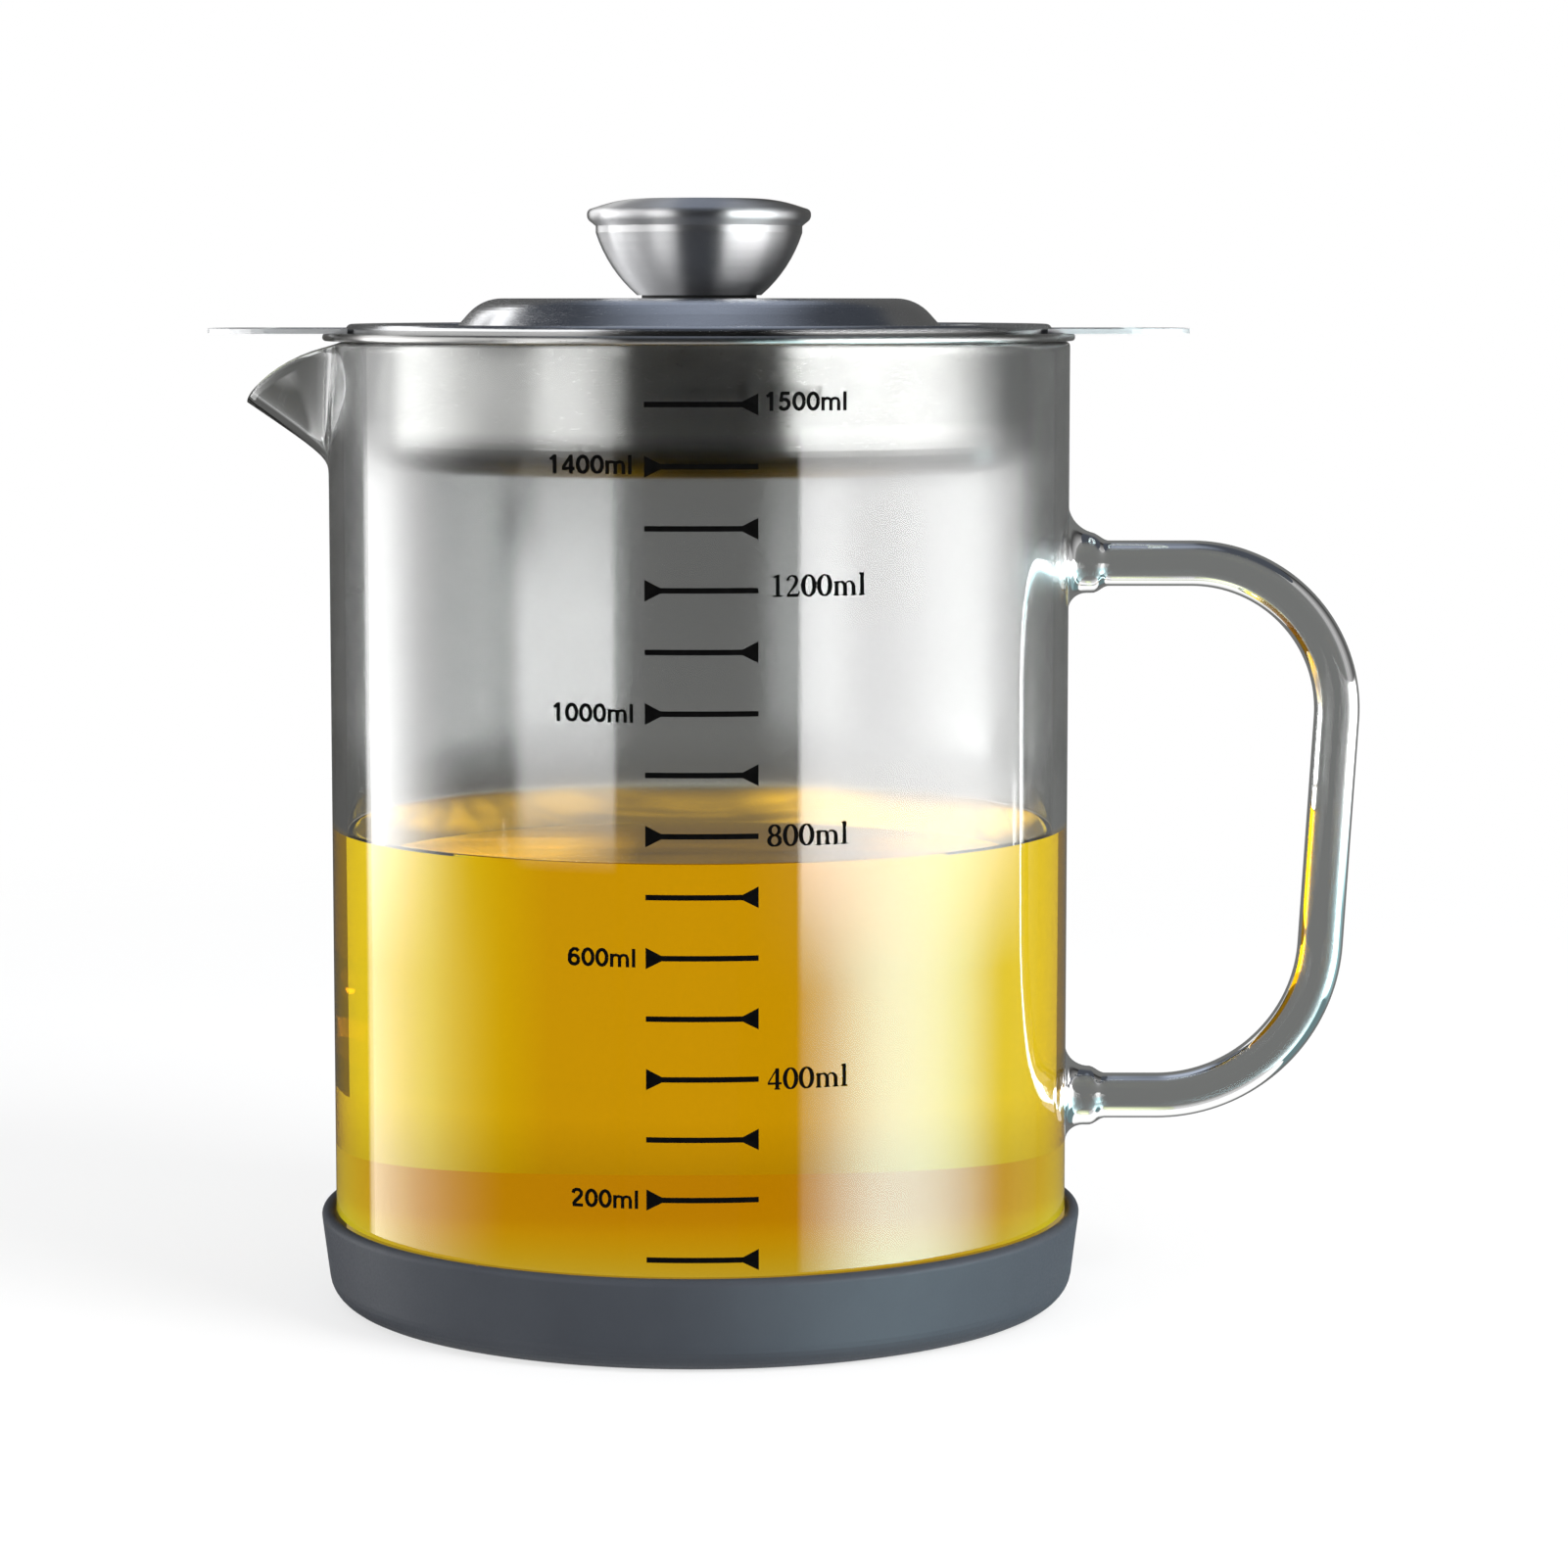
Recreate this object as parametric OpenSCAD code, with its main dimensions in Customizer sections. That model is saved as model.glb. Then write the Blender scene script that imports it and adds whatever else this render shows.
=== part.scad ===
// Oil-straining jug: a glass jug with a pulled spout and a welded rod handle, which stands in
// a silicone base and carries a lift-out strainer with two ears and a lift-off lid with a knob.
// Sizes are in millimetres. The origin is the centre of the base's underside, +Z is up,
// the spout points along -X and the handle along +X.

/* [Glass jug] */
// Outside diameter of the glass
jug_d = 120; // [104:1:140]
// Height of the glass from its underside to its rim
jug_h = 153.4; // [136:0.1:190]
// Thickness of the glass wall
jug_wall = 2.4; // [2:0.1:3.2]
// Thickness of the glass floor
jug_floor = 5; // [3:0.5:8]
// Outside radius of the heel, where the wall turns into the floor
jug_heel = 7; // [4:0.5:10]
// Rounding on each edge of the fire-polished rim
rim_round = 0.7; // [0.3:0.1:0.9]

/* [Spout] */
// Reach of the tip beyond the wall
spout_reach = 14.5; // [11:0.5:18]
// Depth of the tip below the rim
spout_drop = 9.1; // [7.5:0.1:12]
// Depth of the keel's root below the rim
spout_root = 18.9; // [16.5:0.1:24]
// Width of the spout where it leaves the wall at the rim
spout_w = 36; // [30:1:42]
// Width of the spout at the root of its keel
spout_foot_w = 16; // [12:1:20]
// Thickness of the glass along the keel
spout_wall = 2; // [1.6:0.1:2.4]
// Step from the rim down to the lip, at the wall
spout_lip_step = 0.9; // [0.8:0.1:2.4]
// Radius of the lip's curve, seen from the side
spout_lip_r = 27.7; // [22:0.1:40]
// Length over which the keel blends into the wall
spout_blend = 2; // [1:0.1:3]

/* [Handle] */
// Height of the top run's centre above the underside of the glass
handle_top = 117.3; // [105:0.1:128]
// Height of the low run's centre above the underside of the glass
handle_low = 29.5; // [22:0.1:36]
// Reach of the grip's centre line from the wall
handle_reach = 44.1; // [38:0.1:54]
// Diameter of the rod
rod_d = 7.4; // [6:0.1:9]
// Bend radius at the top of the grip
handle_bend_top = 24; // [16:0.5:28]
// Bend radius at the foot of the grip
handle_bend_low = 26.8; // [16:0.1:30]
// Lean of the grip towards the jug at its foot, in degrees
handle_lean = 3.4; // [0:0.1:6]
// Diameter of the weld's foot, which lies just under the wall's face
weld_d = 20.2; // [17:0.1:21]
// Diameter of the weld's collar round the rod
collar_d = 9.8; // [9.2:0.1:11]
// Length of the weld from the wall to the end of its collar
weld_len = 5.6; // [5.2:0.1:8]

/* [Silicone base] */
// Height of the base
base_h = 15; // [12:0.5:22]
// Thickness of its floor
base_floor = 3; // [2:0.5:5]
// Thickness of its wall at the lip
base_wall = 2.3; // [1.4:0.1:3]
// How much narrower the base is at its foot than at its lip
base_draft = 1.9; // [0:0.1:2.6]
// Rounding of its bottom edge
base_edge = 4.6; // [2:0.1:6]
// Clearance between the base and the glass wall
base_fit = 0.2; // [0.1:0.05:0.4]

/* [Strainer] */
// Thickness of the steel sheet of the strainer and the lid
sheet_t = 0.6; // [0.4:0.1:0.8]
// Depth of the strainer below the rim
strainer_depth = 20.4; // [16:0.1:30]
// Gap between the strainer's wall and the glass
strainer_gap = 3.6; // [2.6:0.1:5]
// Bend radius at the strainer's bottom
strainer_bend = 5; // [3:0.5:7]
// Width of the bottom ledge that carries the net
ledge_w = 10; // [8.5:0.5:14]
// Overhang of the flange beyond the glass
flange_over = 0.8; // [0.4:0.1:1.6]
// Width of the hem folded under the flange's edge, which rests on the rim
hem_w = 3; // [2.4:0.1:3.4]
// Thickness of the net
net_t = 0.6; // [0.4:0.1:1]
// Pitch of the net's wires
net_pitch = 4.8; // [4.5:0.1:8]
// Width of the net's wires
net_wire = 0.8; // [0.5:0.1:1.2]
// Clearance between the net's edge and the bend of the strainer's bottom
net_fit = 0.3; // [0.2:0.1:1]
// Thickness of the ring that clamps the net
ring_t = 0.6; // [0.4:0.1:1]

/* [Ears] */
// Reach of each ear beyond the flange
ear_len = 18.2; // [14:0.1:26]
// Width of each ear
ear_w = 30; // [24:1:40]
// Thickness of each ear
ear_t = 0.8; // [0.6:0.1:1.2]
// Overlap of each ear on the flange, where it is welded
ear_lap = 3.2; // [2.6:0.1:4]
// Rounding of each ear's outer corners
ear_round = 10; // [7:0.5:11.5]
// Length of each ear's finger slot, across the ear
slot_l = 17; // [13:0.5:18]
// Width of each ear's finger slot
slot_w = 7; // [5:0.1:8]
// Metal left between the slot and the ear's tip
slot_edge = 3.4; // [2.6:0.1:5]

/* [Lid] */
// Gap between the lid's edge and the ears
lid_gap = 0.6; // [0.3:0.1:1.2]
// Height of the lid's turned-down edge above the flange
lid_edge_h = 1.5; // [1.2:0.1:2.4]
// Clearance of the lid's locating step inside the strainer
lid_fit = 0.6; // [0.3:0.1:1]
// Depth of the locating step below the lid's rim
lid_step_h = 2; // [1.9:0.1:4]
// Width of the flat between the locating step and the raised centre
lid_flat_w = 12; // [8:0.5:16]
// Height of the raised centre above that flat
lid_rise = 6.1; // [5:0.1:10]
// Run of the raised centre's sloping side
lid_side = 5.5; // [3:0.1:7]
// Rounding of the raised centre's shoulder
lid_shoulder = 7; // [3:0.5:8]

/* [Knob] */
// Diameter of the knob's foot
knob_foot_d = 20.6; // [19:0.1:24]
// Diameter of the knob at the seam between cup and cap
knob_seam_d = 33.4; // [30:0.1:40]
// Height of the seam above the knob's foot
knob_cup_h = 10.7; // [8.6:0.1:15]
// Outward bow of the cup's side
knob_bow = 0.8; // [0.2:0.05:1.2]
// Swell of the cap beyond the seam, on the radius
knob_swell = 1.4; // [0.8:0.1:1.8]
// Height of the cap above the seam
knob_cap_h = 4.8; // [4.4:0.1:7]
// Height of the upright band on each side of the seam
knob_band = 0.6; // [0.4:0.1:1]
// Thickness of the knob's steel
knob_sheet = 0.8; // [0.6:0.1:1]
// Thickness of the gasket under the knob
gasket_t = 0.5; // [0.3:0.1:1]
// Diameter of the gasket
gasket_d = 18.6; // [14:0.1:19]

/* [Knob screw] */
// Diameter of the screw's shank
screw_d = 4; // [3:0.5:5]
// Length of the screw under its head
screw_l = 8; // [7:0.5:9]
// Diameter of the screw's head
head_d = 8; // [7:0.1:9]
// Height of the screw's head
head_h = 2.4; // [1.6:0.1:3]
// Diameter of the washer
washer_d = 10; // [9:0.1:14]
// Thickness of the washer
washer_t = 0.8; // [0.5:0.1:1.2]
// Diameter of the nut welded inside the knob
nut_d = 9; // [8:0.1:12]
// Height of that nut
nut_h = 5; // [4:0.1:6]
// Clearance round the screw, on the radius
screw_fit = 0.15; // [0.1:0.05:0.3]

/* [Hidden] */

$fn = 96;
// Points on each rounded corner
corner_steps = 8;
// Rows and columns of the spout's lofted faces
spout_rows = 14;
spout_cols = 22;
// Depth by which the loft's border lies under the glass wall's face
spout_sink = 0.6;
// Glass over the edge of the weld's foot, which lies under the wall's face
weld_cover = 0.1;
// Small bend radius of the pressed steel sheet, on its middle line
sheet_bend = 0.9;
// Rounding of the folded edge of the flange
hem_round = sheet_t * 0.9;
// Lower and upper corner of the knob cap's edge, as parts of the cap's height
cap_low = 0.36;
cap_high = 0.56;
// Where the cap's flat top turns down, as a part of its widest radius
cap_crown = 0.7;

jug_r = jug_d / 2;
bore_r = jug_r - jug_wall;
rim_z = base_floor + jug_h;
base_bore_r = jug_r + base_fit;
base_r = base_bore_r + base_wall;

keel_root_z = rim_z - spout_root;
keel_slope = spout_reach / (spout_root - spout_drop);
keel_angle = atan(keel_slope);
spout_low_z = keel_root_z - 2 * spout_blend;
spout_tip = [-jug_r - spout_reach, rim_z - spout_drop];

rod_top_z = base_floor + handle_top;
rod_low_z = base_floor + handle_low;
grip_x = jug_r + handle_reach;
top_bend_c = [grip_x - handle_bend_top, rod_top_z - handle_bend_top];
low_bend_z = rod_low_z + handle_bend_low;
low_bend_c = [
    top_bend_c[0] + (handle_bend_top - handle_bend_low
        - (top_bend_c[1] - low_bend_z) * sin(handle_lean)) / cos(handle_lean),
    low_bend_z
];
grip_l = (top_bend_c - low_bend_c) * [sin(handle_lean), cos(handle_lean)];

flange_z = rim_z + 2 * sheet_t;
strainer_r = bore_r - strainer_gap;
flange_r = jug_r + flange_over;
hem_r = flange_r - hem_w;
ledge_z = rim_z - strainer_depth + sheet_t;
net_open_r = strainer_r - ledge_w;
net_r = strainer_r - sheet_t / 2 - strainer_bend - net_fit;

ear_root_r = flange_r - ear_lap;
ear_tip = flange_r + ear_len;

lid_r = ear_root_r - lid_gap;
lid_top_z = flange_z + lid_edge_h - sheet_t / 2;
lid_step_r = strainer_r - sheet_t - lid_fit - sheet_t / 2;
lid_flat_z = lid_top_z - lid_step_h;
lid_foot_r = lid_step_r - lid_flat_w;
lid_crown_z = lid_flat_z + lid_rise;
crown_top = lid_crown_z + sheet_t / 2;
crown_under = lid_crown_z - sheet_t / 2;

knob_z = crown_top + gasket_t;
seam_z = knob_z + knob_cup_h;
cup_floor_z = knob_z + knob_sheet;
screw_hole_r = screw_d / 2 + screw_fit;

function unit(v) = v / norm(v);
function flip(list) = [for (i = [len(list) - 1 : -1 : 0]) list[i]];

// Points on an arc about c from angle a to angle b
function arc(c, r, a, b, steps = corner_steps) =
    [for (i = [0 : steps]) c + r * [cos(a + (b - a) * i / steps), sin(a + (b - a) * i / steps)]];

// Centre of the circle of radius r through p and q that lies to the right of the way from p to q
function circle_through(p, q, r) =
    let (half = (q - p) / 2, n = unit([half[1], -half[0]]))
    p + half + n * sqrt(r * r - half * half);

// The corner at p between a and b, as a point or, if p has a third value, as an arc of that radius
function corner(a, p, b) =
    let (r = len(p) > 2 ? p[2] : 0, o = [p[0], p[1]])
    r == 0 ? [o] :
    let (
        u = unit([a[0], a[1]] - o),
        v = unit([b[0], b[1]] - o),
        half = acos(u * v) / 2,
        c = o + unit(u + v) * r / sin(half),
        s = o + u * r / tan(half) - c,
        e = o + v * r / tan(half) - c,
        from = atan2(s[1], s[0]),
        turn = atan2(s[0] * e[1] - s[1] * e[0], s * e)
    )
    arc(c, r, from, from + turn);

// A closed outline, and an open path, through corners given as [x, y] or [x, y, radius]
function outline(p) =
    [for (i = [0 : len(p) - 1]) each corner(p[(i + len(p) - 1) % len(p)], p[i], p[(i + 1) % len(p)])];
function path(p) = [
    for (i = [0 : len(p) - 1])
        each i == 0 || i == len(p) - 1 ? [[p[i][0], p[i][1]]] : corner(p[i - 1], p[i], p[i + 1])
];

// The path moved sideways by d, with mitred corners
function beside(p, d) = [
    for (i = [0 : len(p) - 1])
        let (
            a = unit(i > 0 ? p[i] - p[i - 1] : p[1] - p[0]),
            b = unit(i < len(p) - 1 ? p[i + 1] - p[i] : p[i] - p[i - 1]),
            m = a + b
        )
        p[i] + d * [-m[1], m[0]] / (1 + a * b)
];
// The cut face of a sheet of thickness t whose middle line is the path p
function sheet(p, t) = concat(beside(p, t / 2), flip(beside(p, -t / 2)));

module spin(points) {
    rotate_extrude() polygon(points);
}

module ring(inner, outer, height, z) {
    translate([0, 0, z])
        difference() {
            cylinder(r = outer, h = height);
            translate([0, 0, -height]) cylinder(r = inner, h = 3 * height);
        }
}

// A solid between two grids of points that have the same rows and columns
module lofted(front, back) {
    rows = len(front);
    cols = len(front[0]);
    count = rows * cols;
    grid = [
        for (i = [0 : rows - 2], j = [0 : cols - 2])
            let (k = i * cols + j)
            each [[k, k + 1, k + cols], [k + 1, k + cols + 1, k + cols]]
    ];
    border = concat(
        [for (j = [0 : cols - 2]) j],
        [for (i = [0 : rows - 2]) i * cols + cols - 1],
        [for (j = [cols - 1 : -1 : 1]) (rows - 1) * cols + j],
        [for (i = [rows - 1 : -1 : 1]) i * cols]
    );
    rim = [
        for (i = [0 : len(border) - 1])
            let (a = border[i], b = border[(i + 1) % len(border)])
            each [[b, a, a + count], [b, a + count, b + count]]
    ];
    polyhedron(
        points = concat([for (row = front) each row], [for (row = back) each row]),
        faces = concat(grid, [for (f = grid) [f[2], f[1], f[0]] + [count, count, count]], rim)
    );
}

// Silicone base: a shallow cup that grips the foot of the glass
module silicone_base() {
    lip = base_wall * 0.47;
    color("slategray")
        spin(outline([
            [0, 0],
            [base_r - base_draft, 0, base_edge],
            [base_r, base_h, lip],
            [base_bore_r, base_h, lip],
            [base_bore_r, base_floor, jug_heel - 1],
            [0, base_floor]
        ]));
}

// Pull of the spout's face away from the wall: a ramp up the keel, with a bell across it
function ramp(u) = (u + sqrt(u * u + spout_blend * spout_blend)) / 2;
function bell(t) = (1 + cos(180 * t)) / 2;
function spout_half(z) =
    (spout_foot_w + (spout_w - spout_foot_w) * (z - spout_low_z) / (rim_z - spout_low_z)) / 2;

// One face of the spout, pulled from a wall of radius r, with its keel's root at root_z
function spout_face(r, root_z, inset, top_z) = [
    for (i = [0 : spout_rows])
        let (z = spout_low_z + (top_z - spout_low_z) * i / spout_rows, half = spout_half(z) - inset)
        [
            for (j = [0 : spout_cols])
                let (t = 2 * j / spout_cols - 1, y = half * t, pull = keel_slope * ramp(z - root_z) * bell(t))
                [spout_sink - sqrt(r * r - y * y) - pull, y, z]
        ]
];
// The same grid of points, moved flat against a cylinder of radius r
function on_wall(grid, r) =
    [for (row = grid) [for (p = row) [-sqrt(r * r - p[1] * p[1]), p[1], p[2]]]];

module spout_outside() {
    start = [-jug_r, rim_z - spout_lip_step];
    lip_c = circle_through(spout_tip, start, spout_lip_r);
    face = spout_face(jug_r, keel_root_z - spout_sink / keel_slope, 0, rim_z);
    intersection() {
        lofted(face, on_wall(face, jug_r - jug_wall / 2));
        translate([lip_c[0], 0, lip_c[1]])
            rotate([90, 0, 0])
                cylinder(r = spout_lip_r, h = 2 * spout_w, center = true);
    }
}

module spout_inside() {
    keel_shift = spout_wall / sin(keel_angle) - jug_wall / keel_slope;
    face = spout_face(bore_r, keel_root_z + keel_shift - spout_sink / keel_slope, spout_wall, rim_z + spout_blend);
    lofted(face, on_wall(face, bore_r - jug_wall));
}

// Glass jug: a blown cylinder with a heavy floor and a beak pulled out of its rim
module glass_jug() {
    color("lightcyan", 0.5)
        difference() {
            union() {
                spin(outline([
                    [0, base_floor],
                    [jug_r, base_floor, jug_heel],
                    [jug_r, rim_z, rim_round],
                    [bore_r, rim_z, rim_round],
                    [bore_r, base_floor + jug_floor, jug_heel - jug_wall],
                    [0, base_floor + jug_floor]
                ]));
                spout_outside();
            }
            spout_inside();
        }
}

// A bend of the rod about c in the plane of the handle
module rod_bend(c, r, from, turn) {
    translate([c[0], 0, c[1]])
        rotate([90, 0, 0])
            rotate_extrude(angle = turn, start = from)
                translate([r, 0]) circle(d = rod_d);
}

// A straight run of the rod along X from a to b
module rod_run(a, b, z) {
    translate([a, 0, z])
        rotate([0, 90, 0])
            cylinder(d = rod_d, h = b - a);
}

// The melted foot of the rod, spread on the wall at height z
module weld(z) {
    spread = (weld_d - collar_d) / 2;
    sink = jug_r - sqrt(jug_r * jug_r - weld_d * weld_d / 4) + weld_cover;
    translate([jug_r, 0, z])
        rotate([0, 90, 0])
            spin(outline([
                [0, -jug_wall],
                [weld_d / 2, -jug_wall],
                [weld_d / 2, -sink],
                [collar_d / 2, -sink, spread * 0.96],
                [collar_d / 2, weld_len, collar_d * 0.08],
                [0, weld_len]
            ]));
}

// Glass handle: one bent rod, welded to the wall at both ends
module glass_handle() {
    color("lightcyan", 0.6)
        difference() {
            union() {
                weld(rod_top_z);
                weld(rod_low_z);
                rod_run(jug_r, top_bend_c[0], rod_top_z);
                rod_bend(top_bend_c, handle_bend_top, -handle_lean, 90 + handle_lean);
                translate([low_bend_c[0], 0, low_bend_c[1]])
                    rotate([0, handle_lean, 0])
                        translate([handle_bend_low, 0, 0])
                            cylinder(d = rod_d, h = grip_l);
                rod_bend(low_bend_c, handle_bend_low, -90, 90 - handle_lean);
                rod_run(jug_r, low_bend_c[0], rod_low_z);
            }
            translate([0, 0, base_floor]) cylinder(r = jug_r, h = jug_h);
        }
}

// Strainer cup: drawn from one sheet, with a bottom ledge for the net and a hemmed flange
module strainer_cup() {
    wall_r = strainer_r - sheet_t / 2;
    middle = path([
        [net_open_r, ledge_z - sheet_t / 2],
        [wall_r, ledge_z - sheet_t / 2, strainer_bend],
        [wall_r, flange_z - sheet_t / 2, sheet_bend],
        [hem_r, flange_z - sheet_t / 2]
    ]);
    top = [flange_r, flange_z, hem_round];
    foot = [flange_r, rim_z, hem_round];
    hem_end = [hem_r, rim_z];
    hem = concat(corner([hem_r, flange_z], top, foot), corner(top, foot, hem_end), [hem_end]);
    color("silver")
        spin(concat(beside(middle, sheet_t / 2), hem, flip(beside(middle, -sheet_t / 2))));
}

// Strainer net: a disc of square gaps between crossing wires
module strainer_net() {
    gap = net_pitch - net_wire;
    reach = floor(net_open_r / net_pitch);
    color("gainsboro")
        translate([0, 0, ledge_z])
            linear_extrude(net_t)
                difference() {
                    circle(r = net_r);
                    for (i = [-reach : reach], j = [-reach : reach])
                        if (norm([abs(i) + 0.5, abs(j) + 0.5]) * net_pitch < net_open_r)
                            translate([i, j] * net_pitch) square(gap, center = true);
                }
}

// Ring that clamps the net on the ledge
module net_ring() {
    color("silver") ring(net_open_r, net_r, ring_t, ledge_z + net_t);
}

// An ear along +X: a flat steel loop welded on the flange
module ear() {
    slot_far = ear_tip - slot_edge;
    slot_near = slot_far - slot_w;
    color("silver")
        translate([0, 0, flange_z])
            linear_extrude(ear_t)
                difference() {
                    polygon(outline([
                        [0, -ear_w / 2],
                        [ear_tip, -ear_w / 2, ear_round],
                        [ear_tip, ear_w / 2, ear_round],
                        [0, ear_w / 2]
                    ]));
                    circle(r = ear_root_r);
                    polygon(outline([
                        [slot_near, -slot_l / 2, slot_w * 0.45],
                        [slot_far, -slot_l / 2, slot_w * 0.45],
                        [slot_far, slot_l / 2, slot_w * 0.45],
                        [slot_near, slot_l / 2, slot_w * 0.45]
                    ]));
                }
}

module left_ear() {
    mirror([1, 0, 0]) ear();
}

module right_ear() {
    ear();
}

// Lid shell: pressed from one sheet, with a turned-down edge, a locating step and a raised centre
module lid_shell() {
    color("silver")
        spin(sheet(path([
            [lid_r - sheet_t / 2, flange_z],
            [lid_r - sheet_t / 2, lid_top_z, sheet_t],
            [lid_step_r, lid_top_z, sheet_bend],
            [lid_step_r, lid_flat_z, sheet_bend],
            [lid_foot_r, lid_flat_z, 2 * sheet_bend],
            [lid_foot_r - lid_side, lid_crown_z, lid_shoulder],
            [screw_hole_r, lid_crown_z]
        ]), sheet_t));
}

// Gasket between the knob and the lid
module knob_gasket() {
    color("dimgray") ring(screw_hole_r, gasket_d / 2, gasket_t, crown_top);
}

// Knob cup: a spun bowl with a flat foot and a short upright band at the seam
module knob_cup() {
    half = knob_sheet / 2;
    foot = [knob_foot_d / 2 - half, knob_z + half];
    seam = [knob_seam_d / 2 - half, seam_z];
    shoulder = seam - [0, knob_band];
    chord = norm(shoulder - foot);
    bow_r = chord * chord / (8 * knob_bow) + knob_bow / 2;
    c = circle_through(shoulder, foot, bow_r);
    a = atan2(foot[1] - c[1], foot[0] - c[0]);
    b = atan2(shoulder[1] - c[1], shoulder[0] - c[0]);
    color("silver")
        spin(sheet(concat([[screw_hole_r, foot[1]]], arc(c, bow_r, a, b), [seam]), knob_sheet));
}

// Knob cap: a flat top with a falling, swollen edge, which stands on the cup's band
module knob_cap() {
    half = knob_sheet / 2;
    seam_r = knob_seam_d / 2 - half;
    swell_r = seam_r + knob_swell;
    top_z = seam_z + knob_cap_h - half;
    color("silver")
        spin(sheet(path([
            [seam_r, seam_z],
            [seam_r, seam_z + knob_band],
            [swell_r, seam_z + knob_cap_h * cap_low, knob_sheet],
            [swell_r, seam_z + knob_cap_h * cap_high, knob_sheet * 0.6],
            [swell_r * cap_crown, top_z, 1.2 * swell_r],
            [0, top_z]
        ]), knob_sheet));
}

// Nut welded on the floor of the knob's cup
module knob_nut() {
    color("gray") ring(screw_hole_r, nut_d / 2, nut_h, cup_floor_z);
}

// Screw from below the lid up into the knob's nut
module lid_screw() {
    head_z = crown_under - washer_t;
    color("gray") {
        translate([0, 0, head_z - head_h]) cylinder(d = head_d, h = head_h);
        translate([0, 0, head_z]) cylinder(d = screw_d, h = screw_l);
    }
}

// Washer between the screw's head and the lid
module screw_washer() {
    color("gray") ring(screw_hole_r, washer_d / 2, washer_t, crown_under - washer_t);
}

silicone_base();
glass_jug();
glass_handle();
strainer_cup();
strainer_net();
net_ring();
left_ear();
right_ear();
lid_shell();
knob_gasket();
knob_cup();
knob_cap();
knob_nut();
lid_screw();
screw_washer();
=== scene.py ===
import math

import bpy
import mathutils
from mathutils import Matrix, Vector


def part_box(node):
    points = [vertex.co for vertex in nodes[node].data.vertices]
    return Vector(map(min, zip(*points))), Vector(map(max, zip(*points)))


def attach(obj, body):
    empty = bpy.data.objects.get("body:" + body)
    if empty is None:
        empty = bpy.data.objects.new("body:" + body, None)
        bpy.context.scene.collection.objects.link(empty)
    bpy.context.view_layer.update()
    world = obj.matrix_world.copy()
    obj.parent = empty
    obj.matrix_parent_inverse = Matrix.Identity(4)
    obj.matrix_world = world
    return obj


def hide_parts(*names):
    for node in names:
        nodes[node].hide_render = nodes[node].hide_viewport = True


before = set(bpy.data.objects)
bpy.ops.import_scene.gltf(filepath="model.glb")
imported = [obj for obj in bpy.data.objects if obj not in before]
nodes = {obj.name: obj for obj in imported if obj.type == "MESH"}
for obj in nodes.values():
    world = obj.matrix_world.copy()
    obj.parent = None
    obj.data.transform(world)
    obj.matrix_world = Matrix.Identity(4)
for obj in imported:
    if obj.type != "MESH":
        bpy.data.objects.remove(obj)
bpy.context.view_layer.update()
scene = bpy.context.scene
scene.view_settings.view_transform = "Standard"
MM = 0.001

# Sizes of the jug, in millimetres, as in the CAD model
JUG_R, BORE_R = 60.0, 57.6
FOOT_Z, FLOOR_Z, RIM_Z = 3.04, 8.0, 156.4
HEEL, RIM_ROUND = 7.0, 0.8
BORE_HEEL = HEEL - (JUG_R - BORE_R)
OIL_Z = 77.8


def smoothstep(a, b, x):
    t = min(1.0, max(0.0, (x - a) / (b - a)))
    return t * t * (3 - 2 * t)


def arc(cx, cz, r, a, b, steps):
    """Points (x, z) on an arc, from angle a to angle b in degrees."""
    angles = [math.radians(a + (b - a) * i / steps) for i in range(steps + 1)]
    return [(cx + r * math.cos(t), cz + r * math.sin(t)) for t in angles]


# Meshes

def mesh_piece(name, verts, faces, smooth=True):
    """A mesh object from points in millimetres."""
    data = bpy.data.meshes.new(name)
    data.from_pydata([(x * MM, y * MM, z * MM) for x, y, z in verts], [], faces)
    data.validate()
    data.polygons.foreach_set("use_smooth", [smooth] * len(data.polygons))
    data.update()
    piece = bpy.data.objects.new(name, data)
    scene.collection.objects.link(piece)
    return piece


def skin(columns, start_pole, end_pole):
    """Points and faces of a closed skin, made of columns of points all round and a pole at each end."""
    count, rows = len(columns), len(columns[0])
    verts = [p for column in columns for p in column]
    faces = []
    for i in range(count):
        a, b = i * rows, (i + 1) % count * rows
        faces += [(a + j, b + j, b + j + 1, a + j + 1) for j in range(rows - 1)]
    for pole, row in ((start_pole, 0), (end_pole, rows - 1)):
        top = len(verts)
        verts.append(pole)
        for i in range(count):
            a, b = i * rows + row, (i + 1) % count * rows + row
            faces.append((b, a, top) if row == 0 else (a, b, top))
    return verts, faces


def turned(name, profile, steps=192):
    """A profile of (r, z) points that starts and ends on the axis, turned about Z."""
    columns = []
    for i in range(steps):
        t = 2 * math.pi * i / steps
        columns.append([(r * math.cos(t), r * math.sin(t), z) for r, z in profile[1:-1]])
    poles = [(0.0, 0.0, z) for _, z in (profile[0], profile[-1])]
    return mesh_piece(name, *skin(columns, *poles))


# Spout: its keel ramps out of the wall, with a bell across it, and a curved lip cuts its top
SPOUT_TIP, LIP_START, LIP_R = (-74.5, 147.3), (-60.0, 155.5), 27.7
KEEL_ROOT, KEEL_SLOPE, KEEL_BLEND, SPOUT_SINK = 137.5, 14.5 / 9.8, 2.0, 0.6
SPOUT_LOW, SPOUT_FOOT_W, SPOUT_TOP_W, SPOUT_LEAST_W = 133.5, 16.0, 36.0, 12.8
THROAT_RISE, THROAT_INSET = 0.79, 2.0
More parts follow.
